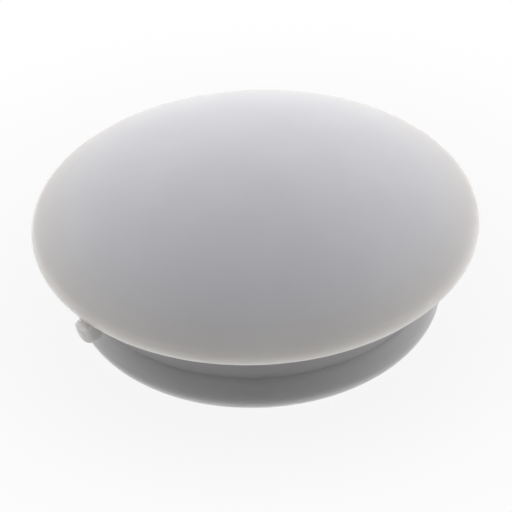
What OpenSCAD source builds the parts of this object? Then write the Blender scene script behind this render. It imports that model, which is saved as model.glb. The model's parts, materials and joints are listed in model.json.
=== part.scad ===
// Push-in screw cover cap: a domed head on a short hollow plug with a snap bead.
// One moulded piece. Millimetres. The seat under the rim is at z = 0 and the crown points up +Z.

/* [Head] */
// Diameter of the head at its widest
head_d = 12.5; // [12.2:0.1:14]
// Height of the crown above the widest part of the rim
crown_h = 1.9; // [1.5:0.05:2.2]
// Radius of the rounded rim
rim_r = 0.25; // [0.2:0.05:0.3]

/* [Underside] */
// Width of the flat ring that seats on the panel
seat_w = 0.5; // [0.3:0.05:0.5]
// Rise of the dished underside from the seat ring to the neck
dish_h = 0.15; // [0.1:0.05:0.2]
// Fillet where the neck meets the underside
root_r = 0.15; // [0.1:0.05:0.2]

/* [Plug] */
// Diameter of the drilled hole that the plug is pushed into
hole_d = 10; // [9.6:0.1:10.2]
// Clearance of the neck in the hole, each side
neck_gap = 0.05; // [0.05:0.05:0.1]
// Length of the plug below the seat
plug_l = 2.55; // [2.3:0.05:4]

/* [Snap bead] */
// Bite of the bead into the wall of the hole, each side
bead_bite = 0.15; // [0.1:0.05:0.25]
// Radius of the rounded top and lead-in of the bead
bead_r = 0.6; // [0.5:0.05:0.7]
// Height of the straight land around the bead
land_h = 0.15; // [0.1:0.05:0.4]

/* [Hollow] */
// Diameter of the screw head that the hollow has to clear
screw_head_d = 7.4; // [6:0.1:7.4]
// Clearance of the hollow around the screw head, each side
screw_gap = 0.3; // [0.2:0.05:0.3]
// Thickness of the crown over the hollow
crown_t = 1.1; // [0.8:0.05:1.2]
// Fillet between the wall and the ceiling of the hollow
ceiling_r = 0.3; // [0.1:0.05:0.4]
// Rounding of the edge at the mouth of the hollow
mouth_r = 0.15; // [0.1:0.05:0.2]

/* [Gate vestige] */
// Width of the stub that the broken gate left under the rim
gate_w = 0.58; // [0.3:0.02:0.7]
// Depth of the stub below the seat
gate_h = 0.6; // [0.4:0.02:0.8]
// Length of the stub along the radius, at its top
gate_l = 0.6; // [0.5:0.05:0.7]
// Reach of the stub past the edge of the rim
gate_out = 0.19; // [0.01:0.01:0.25]
// Set-back of the outer end of the stub from top to bottom
gate_draft = 0.13; // [0.02:0.01:0.2]
// Height to which the stub laps up the rounded rim
gate_lap = 0.03; // [0.02:0.01:0.1]

/* [Hidden] */
$fn = 96;
eps = 0.1;
head_r = head_d / 2;
// Centre of the rounded rim, in the plane of the section
rim_x = head_r - rim_r;
rim_z = rim_r;
crown_top = rim_z + crown_h;
// Sphere of the crown, tangent to the rounded rim
crown_r = (rim_x * rim_x + crown_h * crown_h - rim_r * rim_r) / (2 * (crown_h - rim_r));
crown_z = crown_top - crown_r;
rim_a = atan2(rim_x, rim_z - crown_z);
seat_in = rim_x - seat_w;
neck_r = hole_d / 2 - neck_gap;
// Fillet of the root, tangent to the neck and to the dished underside
dish_w = seat_in - neck_r;
dish_l = sqrt(dish_w * dish_w + dish_h * dish_h);
root_t = root_r / tan(acos(dish_h / dish_l) / 2);
root_z = dish_h - root_t;
bead_max = hole_d / 2 + bead_bite;
bead_x = bead_max - bead_r;
land_lo = bead_r - plug_l;
land_hi = land_lo + land_h;
hollow_r = screw_head_d / 2 + screw_gap;
// Sphere of the ceiling, concentric with the crown, and its fillet
vault_r = crown_r - crown_t;
vault_x = hollow_r - ceiling_r;
vault_z = crown_z + sqrt(pow(vault_r - ceiling_r, 2) - vault_x * vault_x);
vault_a = atan2(vault_x, vault_z - crown_z);
gate_tip = head_r + gate_out;
gate_r = gate_w / 2;

// Half section of the head: crown, rounded rim, seat ring and dished underside
module head_section() {
    intersection() {
        translate([0, crown_z])
            circle(crown_r);
        polygon([
            [0, dish_h],
            [neck_r, dish_h],
            [seat_in, 0],
            [rim_x, 0],
            [rim_x, rim_z],
            [rim_x + sin(rim_a), rim_z + cos(rim_a)],
            [rim_x, crown_top + 1],
            [0, crown_top + 1]
        ]);
    }
    translate([rim_x, rim_z])
        circle(rim_r);
}

// Fillet in the corner between the neck and the underside
module root_section() {
    difference() {
        polygon([
            [neck_r - eps, root_z],
            [neck_r, root_z],
            [neck_r + root_r, root_z],
            [neck_r + root_t * dish_w / dish_l, dish_h - root_t * dish_h / dish_l],
            [neck_r + root_t * dish_w / dish_l, dish_h + eps],
            [neck_r - eps, dish_h + eps]
        ]);
        translate([neck_r + root_r, root_z])
            circle(root_r);
    }
}

// Half section of the plug as if it were solid: neck, bead and rounded lead-in
module plug_section() {
    translate([0, land_lo])
        square([neck_r, dish_h + eps - land_lo]);
    translate([0, -plug_l])
        square([bead_x, bead_r + land_h]);
    translate([bead_x, land_lo])
        square([bead_r, land_h]);
    translate([bead_x, land_lo])
        circle(bead_r);
    translate([bead_x, land_hi])
        circle(bead_r);
}

// Half section of the hollow: straight wall, filleted corner and vaulted ceiling
module hollow_section() {
    translate([0, -plug_l - 1])
        square([hollow_r, vault_z + plug_l + 1]);
    translate([vault_x, vault_z])
        circle(ceiling_r);
    intersection() {
        translate([0, crown_z])
            circle(vault_r);
        polygon([
            [0, vault_z - eps],
            [vault_x, vault_z - eps],
            [vault_x, vault_z],
            [vault_x + sin(vault_a), vault_z + cos(vault_a)],
            [vault_x, crown_top],
            [0, crown_top]
        ]);
    }
}

// What the rounded edge takes off the mouth of the hollow
module mouth_section() {
    difference() {
        translate([hollow_r - eps, -plug_l - eps])
            square([mouth_r + eps, mouth_r + eps]);
        translate([hollow_r + mouth_r, mouth_r - plug_l])
            circle(mouth_r);
    }
}

// The turned form of the cap
module turned_body() {
    rotate_extrude()
        difference() {
            union() {
                head_section();
                root_section();
                plug_section();
            }
            hollow_section();
            mouth_section();
        }
}

// Stub of the broken gate under the rim on the -X side: U-shaped in section, with a leaning end
module gate_stub() {
    intersection() {
        translate([-gate_tip - eps, 0, gate_r - gate_h])
            rotate([90, 0, 90])
                linear_extrude(gate_l + eps) {
                    circle(gate_r);
                    translate([-gate_r, 0])
                        square([gate_w, gate_h - gate_r + gate_lap]);
                }
        rotate([90, 0, 0])
            linear_extrude(gate_w + 1, center = true)
                polygon([
                    [-gate_tip, gate_lap + eps],
                    [-gate_tip, gate_lap],
                    [gate_draft - gate_tip, -gate_h],
                    [gate_draft - gate_tip, -gate_h - eps],
                    [0, -gate_h - eps],
                    [0, gate_lap + eps]
                ]);
    }
}

module cover_cap() {
    color("#b9bbbf")
        union() {
            turned_body();
            gate_stub();
        }
}

cover_cap();
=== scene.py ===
import json
import math

import bpy
import numpy as np
from mathutils import Matrix, Vector


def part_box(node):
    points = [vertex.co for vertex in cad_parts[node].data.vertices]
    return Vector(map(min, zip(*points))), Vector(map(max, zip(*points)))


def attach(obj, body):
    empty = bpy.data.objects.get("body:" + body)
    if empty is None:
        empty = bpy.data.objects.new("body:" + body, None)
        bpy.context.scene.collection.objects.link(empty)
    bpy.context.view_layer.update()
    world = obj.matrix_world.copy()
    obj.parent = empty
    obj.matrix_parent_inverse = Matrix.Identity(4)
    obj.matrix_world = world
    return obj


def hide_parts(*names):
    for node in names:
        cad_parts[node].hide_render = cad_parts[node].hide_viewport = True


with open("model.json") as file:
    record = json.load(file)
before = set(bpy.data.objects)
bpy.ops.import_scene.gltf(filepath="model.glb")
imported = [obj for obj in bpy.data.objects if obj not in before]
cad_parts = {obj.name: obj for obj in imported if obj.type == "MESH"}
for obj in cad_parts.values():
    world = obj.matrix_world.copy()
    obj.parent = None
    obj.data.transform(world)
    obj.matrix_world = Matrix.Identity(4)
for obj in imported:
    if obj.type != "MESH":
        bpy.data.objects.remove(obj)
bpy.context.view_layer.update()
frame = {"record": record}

# The moulding. The cap is one shot of light grey polyethylene with nothing fixed to it: a shallow
# domed head with a rounded rim, a dished underside with a flat seat ring, and a short hollow plug
# with a straight neck and a rounded snap bead that clicks into a drilled hole.
MM = 0.001
cap_low, cap_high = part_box("cover_cap")
mounts = {mount["name"]: mount for mount in frame["record"]["mounts"]}
head_r = cap_high.y
crown_top = cap_high.z
foot_z = cap_low.z
bead_max = mounts["plug"]["dims"]["r_mm"] * MM
land_h = mounts["plug"]["dims"]["length_mm"] * MM
land_z = mounts["plug"]["pos_m"][2]
hollow_r = mounts["hollow"]["dims"]["r_mm"] * MM
rim_r = 0.25 * MM
seat_w = 0.5 * MM
dish_h = 0.15 * MM
root_r = 0.15 * MM
neck_r = 4.95 * MM
crease_r = 0.05 * MM
bead_r = 0.6 * MM
mouth_r = 0.15 * MM
ceiling_r = 0.3 * MM
crown_t = 1.1 * MM

# Centres, angles and ends of the arcs, each tangent to the stretches on either side of it
rim_x = head_r - rim_r
seat_in = rim_x - seat_w
crown_h = crown_top - rim_r
crown_r = (rim_x**2 + crown_h**2 - rim_r**2) / (2 * (crown_h - rim_r))
crown_z = crown_top - crown_r
rim_a = math.atan2(rim_x, rim_r - crown_z)
dish_w = seat_in - neck_r
dish_l = math.hypot(dish_w, dish_h)
dish_a = math.atan2(dish_h, dish_w)
root_x = neck_r + root_r
root_z = dish_h - root_r / math.tan(math.acos(dish_h / dish_l) / 2)
bead_x = bead_max - bead_r
land_hi = land_z + land_h / 2
land_lo = land_z - land_h / 2
crease_x = neck_r + crease_r
crease_z = land_hi + math.sqrt((bead_r + crease_r) ** 2 - (crease_x - bead_x) ** 2)
crease_a = math.atan2(crease_x - bead_x, crease_z - land_hi)
mouth_x = hollow_r + mouth_r
mouth_z = foot_z + mouth_r
vault_r = crown_r - crown_t
vault_x = hollow_r - ceiling_r
vault_z = crown_z + math.sqrt((vault_r - ceiling_r) ** 2 - vault_x**2)
vault_a = math.atan2(vault_x, vault_z - crown_z)


def arc(centre, radius, start, end, steps):
    """Points (r, z) on a circle: centre + radius (sin a, cos a), the angle a running from start to end
    in equal steps, measured from straight up towards the rim. The end point itself is left out."""
    a = np.linspace(start, end, steps, endpoint=False)
    return np.stack([centre[0] + radius * np.sin(a), centre[1] + radius * np.cos(a)], axis=1)


def line(start, end, steps):
    """Points (r, z) in equal steps on the straight line from start to end, without the end point."""
    t = np.linspace(0, 1, steps, endpoint=False)[:, None]
    return (1 - t) * np.array(start) + t * np.array(end)


# Half section of the cap, from the top of the crown round the rim and the plug to the ceiling
up, out, down = 0.0, math.pi / 2, math.pi
root_start = (root_x + root_r * math.sin(dish_a), root_z + root_r * math.cos(dish_a))
stretches = [
    arc((0, crown_z), crown_r, up, rim_a, steps=48),
    arc((rim_x, rim_r), rim_r, rim_a, down, steps=60),
    line((rim_x, 0), (seat_in, 0), steps=50),
    line((seat_in, 0), root_start, steps=8),
    arc((root_x, root_z), root_r, dish_a, -out, steps=8),
    line((neck_r, root_z), (neck_r, crease_z), steps=10),
    arc((crease_x, crease_z), crease_r, -out, crease_a - down, steps=4),
    arc((bead_x, land_hi), bead_r, crease_a, out, steps=16),
    line((bead_max, land_hi), (bead_max, land_lo), steps=3),
    arc((bead_x, land_lo), bead_r, out, down, steps=18),
    line((bead_x, foot_z), (mouth_x, foot_z), steps=5),
    arc((mouth_x, mouth_z), mouth_r, down, down + out, steps=8),
    line((hollow_r, mouth_z), (hollow_r, vault_z), steps=14),
    arc((vault_x, vault_z), ceiling_r, out, vault_a, steps=8),
    arc((0, crown_z), vault_r, vault_a, up, steps=24),
    np.array([[0, crown_z + vault_r]]),
]
section = np.concatenate(stretches)
section_s = np.concatenate([[0], np.cumsum(np.hypot(*np.diff(section, axis=0).T))])

# Painted glow of light through thin plastic, from 0 in the middle of the head to 1 on the edge of the
# rim
painted_glow_reach = 1.1 * MM
plug_painted_glow_most = 0.4
plug_painted_glow_below = 0.3 * MM


def near_edge(centre, radius, reach):
    """How close the section runs to the lower outer quarter of a rounded edge, from 1 on it down to 0,
    as a bell curve of the distance in units of reach."""
    edge = np.array(centre) + radius * math.sqrt(0.5) * np.array([1, -1])
    return np.exp(-(((section - edge) ** 2).sum(axis=1)) / reach**2)


plug_painted_glow = np.interp(-section[:, 1], [0, plug_painted_glow_below], [0, plug_painted_glow_most])
painted_glow = np.maximum(near_edge((rim_x, rim_r), rim_r, painted_glow_reach), plug_painted_glow)

# The stub of the gate. The plastic was shot in under the rim and the sprue was torn off there, which
# left a short U-shaped knob that stands a little past the rim. It is painted paler where it stands out,
# partly as whitening where it stretched and broke and partly as painted light on its side in the rim's
# shade.
stub_clear = 0.005 * MM
stub_tip = -cap_low.x - stub_clear
stub_in = 5.83 * MM
stub_w = 0.57 * MM
stub_h = 0.52 * MM
stub_fall = 0.13 * MM
stub_draft = 0.13 * MM
stub_lap = 0.06 * MM
stub_rise = 0.1 * MM
stub_round = 0.07 * MM
stub_worn = 1.8
stub_top_round = 0.07 * MM
stub_foot_r = 0.1 * MM
break_depth = 0.08 * MM
break_reach = 0.15 * MM
torn_full = 0.08 * MM
torn_least = 0.2

# The patch of rim and seat that the stub takes up has narrow columns, and the rest has wide ones
patch_margin = 1.5 * stub_foot_r
patch_top_a = math.radians(95)
patch_half_a = (stub_w / 2 + patch_margin) / rim_x
patch_columns = 72
wide_columns = 200
patch_turn = np.linspace(-patch_half_a, patch_half_a, patch_columns, endpoint=False)
wide_turn = np.linspace(patch_half_a, 2 * math.pi - patch_half_a, wide_columns, endpoint=False)
around = np.concatenate([patch_turn, wide_turn])

# The patch is spread from a point inside the stub, along a line that dips outwards
heart = np.array([rim_x + 0.03 * MM, 0, 0.05 * MM])
heart_dip = math.radians(60)
walk_steps = 120
walk_share = 0.8


def body_distance(x, y, z):
    """How far a point lies outside the head near its rim: the corner between the seat and the widest
    part, rounded by rim_r about the circle at (rim_x, rim_r)."""
    over, under = np.hypot(x, y) - rim_x, rim_r - z
    outside = np.hypot(np.maximum(over, 0), np.maximum(under, 0))
    return outside + np.minimum(np.maximum(over, under), 0) - rim_r


def both_inside(first, second, radius):
    """Distance outside what two shapes have in common, with the edge between them rounded by radius."""
    first, second = first + radius, second + radius
    outside = np.hypot(np.maximum(first, 0), np.maximum(second, 0))
    return outside + np.minimum(np.maximum(first, second), 0) - radius


def stub_distance(x, y, z):
    """How far a point lies outside the stub, a bar along the radius x with a U section across it. Its
    bottom falls by stub_fall and its top climbs by stub_rise from the tip inwards. Its outer end leans
    back by stub_draft over its height and is dished where it broke, by a bell curve break_depth deep.
    The edges are rounded, most of all the one at +y."""
    half = stub_w / 2
    inward = (stub_tip - x) / (stub_tip - stub_in)
    depth = stub_h + stub_fall * inward
    wall = np.hypot(y, np.minimum(z + depth - half, 0)) - half
    tip = stub_tip - stub_draft * (stub_lap - z) / (stub_lap + stub_h)
    dish = break_depth * np.exp(-(y**2 + (z + stub_h / 2) ** 2) / break_reach**2)
    ends = np.maximum(x - tip + dish, stub_in - x)
    bar = both_inside(wall, ends, stub_round * (1 + stub_worn * np.clip(y / half, 0, 1)))
    return both_inside(bar, z - stub_lap - stub_rise * inward, stub_top_round)


def joined_distance(point):
    """The lesser of the two distances, blended over stub_foot_r where they are alike, which leaves a
    small fillet round the foot of the stub."""
    x, y, z = np.moveaxis(point, -1, 0)
    body, stub = body_distance(x, y, z), stub_distance(x, y, z)
    mix = np.clip(0.5 + 0.5 * (stub - body) / stub_foot_r, 0, 1)
    return stub + (body - stub) * mix - stub_foot_r * mix * (1 - mix)


def border_way(edge, steps, at):
    """Unit vectors from the heart to places along one edge of the patch: the edge's points, taken in
    straight lines between the steps, less the heart, over their length."""
    way = np.stack([np.interp(at, steps, edge[:, k]) for k in range(3)], axis=-1) - heart
    return way / np.linalg.norm(way, axis=-1, keepdims=True)


def spread_over_stub(patch):
    """The patch of rim and seat that the stub grows from, spread over the joined form. Each point goes
    out from the heart until the joined distance is 0. Its way turns from the stub's axis, in the middle
    of the patch, to the way of the patch's border, in step with the square rings of the patch."""
    axis = np.array([math.cos(heart_dip), 0, -math.sin(heart_dip)])
    down_rows, across = (np.linspace(-1, 1, count) for count in patch.shape[:2])
    w, v = np.meshgrid(down_rows, across, indexing="ij")
    ring = np.maximum(np.abs(w), np.abs(v))
    above_zero = np.maximum(ring, 1e-9)
    at_w, at_v = w / above_zero, v / above_zero
    rim_edge, seat_edge = (border_way(edge, across, at_v) for edge in (patch[0], patch[-1]))
    first_side, last_side = (border_way(edge, down_rows, at_w) for edge in (patch[:, 0], patch[:, -1]))
    rim_or_seat = np.where(w[..., None] < 0, rim_edge, seat_edge)
    either_side = np.where(v[..., None] < 0, first_side, last_side)
    border = np.where((np.abs(w) >= np.abs(v))[..., None], rim_or_seat, either_side)
    turn = np.arccos(np.clip(border @ axis, -1, 1))[..., None]
    share = ring[..., None]
    way = (axis * np.sin((1 - share) * turn) + border * np.sin(share * turn)) / np.sin(turn)
    gone = np.zeros_like(share)
    for _ in range(walk_steps):
        gone = gone - walk_share * joined_distance(heart + gone * way)[..., None]
    return np.where(share < 1, heart + gone * way, patch)


def moulded_surface():
    """The cap as points (r cos a, r sin a, z), the half section carried round the axis with a being 0
    at -X, where the patch under the rim is spread over the stub. With it goes a share from 0 to 1: how
    far each point of the stub stands out from the rim, growing towards +Y. The paleness painted by it is
    partly whitening at the break and partly painted light on the stub's side in the rim's shade."""
    r, z = section[:, :1], section[:, 1:]
    turned = np.broadcast_arrays(r * np.cos(around), r * np.sin(around), z)
    points = np.stack(turned, axis=-1)
    rim_s = crown_r * rim_a
    patch_s = rim_s + rim_r * (patch_top_a - rim_a)
    seat_s = rim_s + rim_r * (down - rim_a) + rim_x - stub_in + patch_margin
    rows = np.flatnonzero((section_s > patch_s) & (section_s < seat_s))
    patch = np.ix_(rows, np.arange(patch_columns + 1))
    points[patch] = spread_over_stub(points[patch])
    x, y, z = np.moveaxis(points[patch], -1, 0)
    stands_out = np.clip(body_distance(x, y, z) / torn_full, 0, 1)
    # Painted light: the stub is paled more towards +Y, its side that lies in the rim's shade
    painted_light_side = np.clip(2 * y / stub_w, 0, 1)
    torn_and_painted_light = np.zeros(points.shape[:2])
    torn_and_painted_light[patch] = stands_out * (torn_least + (1 - torn_least) * painted_light_side)
    return points * (-1, -1, 1), torn_and_painted_light


def grid_faces(rows, columns):
    """Quads between neighbouring points of a grid that closes on itself sideways, and a fan of
    triangles to the single point at each end. The points are numbered row by row, the ends last."""
    i = np.arange(rows - 1)[:, None] * columns
    j = np.arange(columns)[None, :]
    k = (j + 1) % columns
    quads = np.stack([i + j, i + columns + j, i + columns + k, i + k], axis=-1).reshape(-1, 4)
    ring = np.arange(columns)
    following = (ring + 1) % columns
    first, last = rows * columns, rows * columns + 1
    bottom = (rows - 1) * columns
    crown_fan = np.stack([np.full(columns, first), ring, following], axis=1)
    vault_fan = np.stack([np.full(columns, last), bottom + following, bottom + ring], axis=1)
    return quads.tolist() + crown_fan.tolist() + vault_fan.tolist()


points, torn_and_painted_light = moulded_surface()
inner = points[1:-1]
vertices = np.concatenate([inner.reshape(-1, 3), points[0, :1], points[-1, :1]])
cap_mesh = bpy.data.meshes.new("cover_cap_moulding")
cap_mesh.from_pydata(vertices, [], grid_faces(len(inner), len(around)))
cap_mesh.polygons.foreach_set("use_smooth", np.ones(len(cap_mesh.polygons), bool))


def keep_share(name, share):
    """Keep a share from 0 to 1 for each point of the mesh under that name, 0 at its two end points."""
    kept = cap_mesh.attributes.new(name, "FLOAT", "POINT")
    kept.data.foreach_set("value", np.concatenate([share.ravel(), [0, 0]]).astype(np.float32))


# The stub's paleness is partly painted light, and the painted glow of thin plastic is left off the stub
keep_share("torn_and_painted_light", torn_and_painted_light[1:-1])
keep_share("painted_glow", painted_glow[1:-1, None] * (1 - torn_and_painted_light[1:-1]))
cap_mesh.validate()
cap = bpy.data.objects.new("cover_cap_moulding", cap_mesh)
bpy.context.scene.collection.objects.link(cap)

# The plastic. Light grey polyethylene from a fine-sparked mould: a satin skin with a faint grain and a
# little unevenness of colour and gloss from the flow. Light spreads below the skin. A warmer tone
# towards the rim and on the plug, and a paler very edge of the rim, are painted glow of light through
# thin plastic.
# The stub at the gate is painted paler, partly as whitening where it broke and partly as painted light
# on its shaded side.
grey_deep = (0.430, 0.426, 0.452, 1)
grey_clear = (0.462, 0.458, 0.482, 1)
# Painted glow: a warm tint for light through thin plastic, and a pale colour for the rim's very edge
painted_warm_glow = (1.035, 1.01, 0.93, 1)
painted_edge_glow = (0.67, 0.65, 0.625, 1)
edge_narrow = 21
# Paler stub: whitening at the break, and painted light on its side in the rim's shade
break_and_painted_light_grey = (0.48, 0.47, 0.455, 1)
cloud_size = 1.6 * MM
cloud_detail = 4
satin_least = 0.32
satin_most = 0.40
grain_size = 0.07 * MM
grain_detail = 2
grain_depth = 0.004 * MM


def feed(tree, socket, value):
    """Set a socket to a plain number or colour, or link it to the output that gives its value."""
    if isinstance(value, bpy.types.NodeSocket):
        tree.links.new(value, socket)
    else:
        socket.default_value = value


def worked_out(tree, operation, *terms):
    """Number that a Math node's operation gives for its terms, taken in order."""
    sum_node = tree.nodes.new("ShaderNodeMath")
    sum_node.operation = operation
    for socket, term in zip(sum_node.inputs, terms):
        feed(tree, socket, term)
    return sum_node.outputs["Value"]


def between(tree, value, start, end, first, last, way="LINEAR"):
    """Number that goes from first, where value is start or less, to last, where it is end or more, in a
    straight line, or in a smooth S where the way is SMOOTHSTEP."""
    span = tree.nodes.new("ShaderNodeMapRange")
    span.interpolation_type = way
    feed(tree, span.inputs["Value"], value)
    feed(tree, span.inputs["From Min"], start)
    feed(tree, span.inputs["From Max"], end)
    feed(tree, span.inputs["To Min"], first)
    feed(tree, span.inputs["To Max"], last)
    return span.outputs["Result"]


def mixed(tree, share, first, second, way="MIX"):
    """Colour that goes from first, where share is 0, to second, where it is 1, or to first times second
    where the way is MULTIPLY."""
    blend = tree.nodes.new("ShaderNodeMix")
    blend.data_type = "RGBA"
    blend.blend_type = way
    feed(tree, blend.inputs["Factor"], share)
    feed(tree, blend.inputs["A"], first)
    feed(tree, blend.inputs["B"], second)
    return blend.outputs["Result"]


def speckle(tree, size, detail):
    """Noise from 0 to 1 on Object coordinates, in blobs about as wide as size, with that many finer
    layers on them."""
    place = tree.nodes.new("ShaderNodeTexCoord")
    noise = tree.nodes.new("ShaderNodeTexNoise")
    feed(tree, noise.inputs["Vector"], place.outputs["Object"])
    feed(tree, noise.inputs["Scale"], 1 / size)
    feed(tree, noise.inputs["Detail"], detail)
    return noise.outputs["Fac"]


def kept_share(tree, name):
    """The share that the mesh keeps for each of its points under that name."""
    kept = tree.nodes.new("ShaderNodeAttribute")
    kept.attribute_name = name
    return kept.outputs["Fac"]


plastic = bpy.data.materials.new("grey_plastic")
plastic.use_nodes = True
tree = plastic.node_tree
skin = tree.nodes["Principled BSDF"]
skin.inputs["IOR"].default_value = 1.5
skin.inputs["Specular IOR Level"].default_value = 0.2
skin.inputs["Subsurface Weight"].default_value = 1.0
skin.inputs["Subsurface Radius"].default_value = (1, 1, 1)
skin.inputs["Subsurface Scale"].default_value = 0.9 * MM
skin.inputs["Sheen Weight"].default_value = 0.4
skin.inputs["Sheen Roughness"].default_value = 0.3

cloud = speckle(tree, cloud_size, cloud_detail)
painted_glow_share = kept_share(tree, "painted_glow")
painted_edge_share = worked_out(tree, "POWER", painted_glow_share, edge_narrow)
break_and_painted_light_share = between(tree, kept_share(tree, "torn_and_painted_light"), torn_least, 1.0, 0.0, 1.0)
colour = mixed(tree, cloud, grey_deep, grey_clear)
# Painted glow: warmer where the plastic is thin, and paler at the rim's very edge
colour = mixed(tree, painted_glow_share, colour, painted_warm_glow, "MULTIPLY")
colour = mixed(tree, painted_edge_share, colour, painted_edge_glow)
# The stub painted paler: whitening at the break, and painted light on its side in the rim's shade
colour = mixed(tree, break_and_painted_light_share, colour, break_and_painted_light_grey)
feed(tree, skin.inputs["Base Color"], colour)
feed(tree, skin.inputs["Roughness"], between(tree, cloud, 0.0, 1.0, satin_least, satin_most))

relief = tree.nodes.new("ShaderNodeBump")
relief.inputs["Strength"].default_value = 0.15
relief.inputs["Distance"].default_value = grain_depth
feed(tree, relief.inputs["Height"], speckle(tree, grain_size, grain_detail))
feed(tree, skin.inputs["Normal"], relief.outputs["Normal"])
cap_mesh.materials.append(plastic)

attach(cap, "root")
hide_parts("cover_cap")

# The table. A plain white sheet that the cap stands on, with its plug down. It throws light up at the
# rim and at the foot of the plug, takes a soft shadow between them and runs out to plain white. Seen
# from below it is clear.
sheet_r = 400 * MM
sheet_corners = 96
sheet_grey = (0.35, 0.35, 0.35, 1)

# Light that the sheet throws up, and the white that it is seen with, by the distance from the origin
foot_light = 1.1
foot_lit_to = 5.6 * MM
foot_dark_from = 6.6 * MM
open_light = 0.85
open_dark_to = 7.5 * MM
open_lit_from = 10 * MM
white_least = 0.9
white_least_to = 5 * MM
white_full_from = 16 * MM


def shown_plain(tree):
    """1 for rays that show the sheet or the surround to the camera, by a mirror or through glass, and 0
    for those that carry light from it: the greatest of the three marks of a ray's path."""
    path = tree.nodes.new("ShaderNodeLightPath")
    straight_or_mirrored = worked_out(
        tree, "MAXIMUM", path.outputs["Is Camera Ray"], path.outputs["Is Glossy Ray"]
    )
    return worked_out(tree, "MAXIMUM", straight_or_mirrored, path.outputs["Is Transmission Ray"])


def laid_over(tree, share, under, over):
    """Surface that is the first shader where share is 0 and the second where it is 1."""
    both = tree.nodes.new("ShaderNodeMixShader")
    feed(tree, both.inputs["Fac"], share)
    tree.links.new(under, both.inputs[1])
    tree.links.new(over, both.inputs[2])
    return both.outputs["Shader"]


sheet_turn = np.linspace(0, 2 * math.pi, sheet_corners, endpoint=False)
sheet_x, sheet_y = sheet_r * np.cos(sheet_turn), sheet_r * np.sin(sheet_turn)
sheet_edge = np.stack([sheet_x, sheet_y, np.full(sheet_corners, foot_z)], axis=1)
sheet_mesh = bpy.data.meshes.new("table")
sheet_mesh.from_pydata(sheet_edge, [], [list(range(sheet_corners))])
table = bpy.data.objects.new("table", sheet_mesh)
bpy.context.scene.collection.objects.link(table)

paper = bpy.data.materials.new("white_sheet")
paper.use_nodes = True
tree = paper.node_tree
tree.nodes.remove(tree.nodes["Principled BSDF"])
where = tree.nodes.new("ShaderNodeTexCoord")
away = tree.nodes.new("ShaderNodeVectorMath")
away.operation = "LENGTH"
tree.links.new(where.outputs["Object"], away.inputs[0])
from_origin = away.outputs["Value"]

foot_part = between(tree, from_origin, foot_lit_to, foot_dark_from, foot_light, 0.0, "SMOOTHSTEP")
open_part = between(tree, from_origin, open_dark_to, open_lit_from, 0.0, open_light, "SMOOTHSTEP")
thrown_up = worked_out(tree, "ADD", foot_part, open_part)
plain = shown_plain(tree)
not_plain = worked_out(tree, "SUBTRACT", 1.0, plain)
matt = tree.nodes.new("ShaderNodeBsdfDiffuse")
matt.inputs["Color"].default_value = sheet_grey
glow = tree.nodes.new("ShaderNodeEmission")
feed(tree, glow.inputs["Strength"], worked_out(tree, "MULTIPLY", thrown_up, not_plain))
lit_sheet = tree.nodes.new("ShaderNodeAddShader")
tree.links.new(matt.outputs["BSDF"], lit_sheet.inputs[0])
tree.links.new(glow.outputs["Emission"], lit_sheet.inputs[1])

fade = between(tree, from_origin, white_least_to, white_full_from, white_least, 1.0, "SMOOTHSTEP")
white_share = worked_out(tree, "MULTIPLY", plain, fade)
white = tree.nodes.new("ShaderNodeEmission")
shadowed = laid_over(tree, white_share, lit_sheet.outputs["Shader"], white.outputs["Emission"])
facing = tree.nodes.new("ShaderNodeNewGeometry")
clear = tree.nodes.new("ShaderNodeBsdfTransparent")
one_sided = laid_over(tree, facing.outputs["Backfacing"], shadowed, clear.outputs["BSDF"])
tree.links.new(one_sided, tree.nodes["Material Output"].inputs["Surface"])
sheet_mesh.materials.append(paper)

# The camera. It stands where the photograph was taken from, with the gate stub at the left front,
# looking down on the head, far off for its size, and leaning so that the cap's right side rises.
view_azimuth = math.radians(-40.85)
view_elevation = math.radians(36.7)
lean = math.radians(-2.29)
frame_px = 512
head_px = 224.15
head_at = Vector((255.3, 222.05))
distance = 20 * head_r
sensor = 36.0


def towards(azimuth, elevation):
    """Unit vector from the cap to a place at that azimuth and elevation, azimuth 0 being on -Y: the sine
    and minus the cosine of the azimuth, both times the elevation's cosine, and the elevation's sine."""
    level = math.cos(elevation)
    return Vector((math.sin(azimuth) * level, -math.cos(azimuth) * level, math.sin(elevation)))


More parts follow.
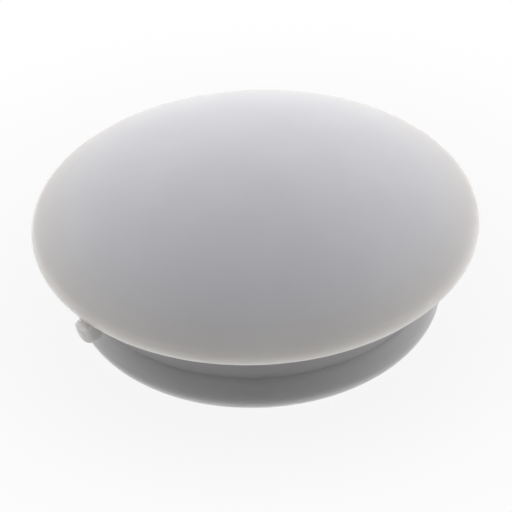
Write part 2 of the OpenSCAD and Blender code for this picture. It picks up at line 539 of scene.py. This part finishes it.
camera_data = bpy.data.cameras.new("photo_camera")
camera_data.sensor_width = sensor
camera_data.lens = head_px * distance / head_r * sensor / frame_px
camera_data.clip_start = 1 * MM
camera_data.clip_end = 2000 * MM
camera = bpy.data.objects.new("photo_camera", camera_data)
bpy.context.scene.collection.objects.link(camera)
head_centre = Vector((0, 0, rim_r))
eye = head_centre + towards(view_azimuth, view_elevation) * distance
turned = (head_centre - eye).to_track_quat("-Z", "Y").to_matrix() @ Matrix.Rotation(lean, 3, "Z")
from_middle = (head_at - Vector((frame_px, frame_px)) / 2) / head_px * head_r
aim = head_centre - turned.col[0] * from_middle.x + turned.col[1] * from_middle.y
levelled = (aim - eye).to_track_quat("-Z", "Y").to_matrix()
camera.matrix_world = Matrix.Translation(eye) @ (levelled @ Matrix.Rotation(lean, 3, "Z")).to_4x4()
bpy.context.scene.camera = camera

# The studio. A plain white surround gives all the light. It is brighter behind the cap, where a big
# soft screen stands, and at either side, and falls off to nothing low in front, where the camera is.
screen_azimuth = view_azimuth + math.radians(174)
side_azimuth = view_azimuth + math.pi / 2
even_light = 0.92
screen_light = 1.8
side_light = 1.2
side_narrow = 4


def facing_share(tree, azimuth):
    """Cosine between where a ray goes and the level way to that azimuth: the dot product of the two."""
    sight = tree.nodes.new("ShaderNodeTexCoord")
    along = tree.nodes.new("ShaderNodeVectorMath")
    along.operation = "DOT_PRODUCT"
    tree.links.new(sight.outputs["Generated"], along.inputs[0])
    along.inputs[1].default_value = towards(azimuth, 0)
    return along.outputs["Value"]


world = bpy.data.worlds.new("studio")
bpy.context.scene.world = world
world.use_nodes = True
tree = world.node_tree
surround = tree.nodes["Background"]
surround.inputs["Color"].default_value = (1, 1, 1, 1)
screen = worked_out(tree, "MULTIPLY_ADD", facing_share(tree, screen_azimuth), screen_light, even_light)
sides = worked_out(tree, "POWER", facing_share(tree, side_azimuth), side_narrow)
light = worked_out(tree, "MAXIMUM", worked_out(tree, "MULTIPLY_ADD", sides, side_light, screen), 0.0)
shown = tree.nodes.new("ShaderNodeMix")
feed(tree, shown.inputs["Factor"], shown_plain(tree))
feed(tree, shown.inputs["A"], light)
feed(tree, shown.inputs["B"], 1.0)
feed(tree, surround.inputs["Strength"], shown.outputs["Result"])

bpy.context.scene.view_settings.view_transform = "Standard"
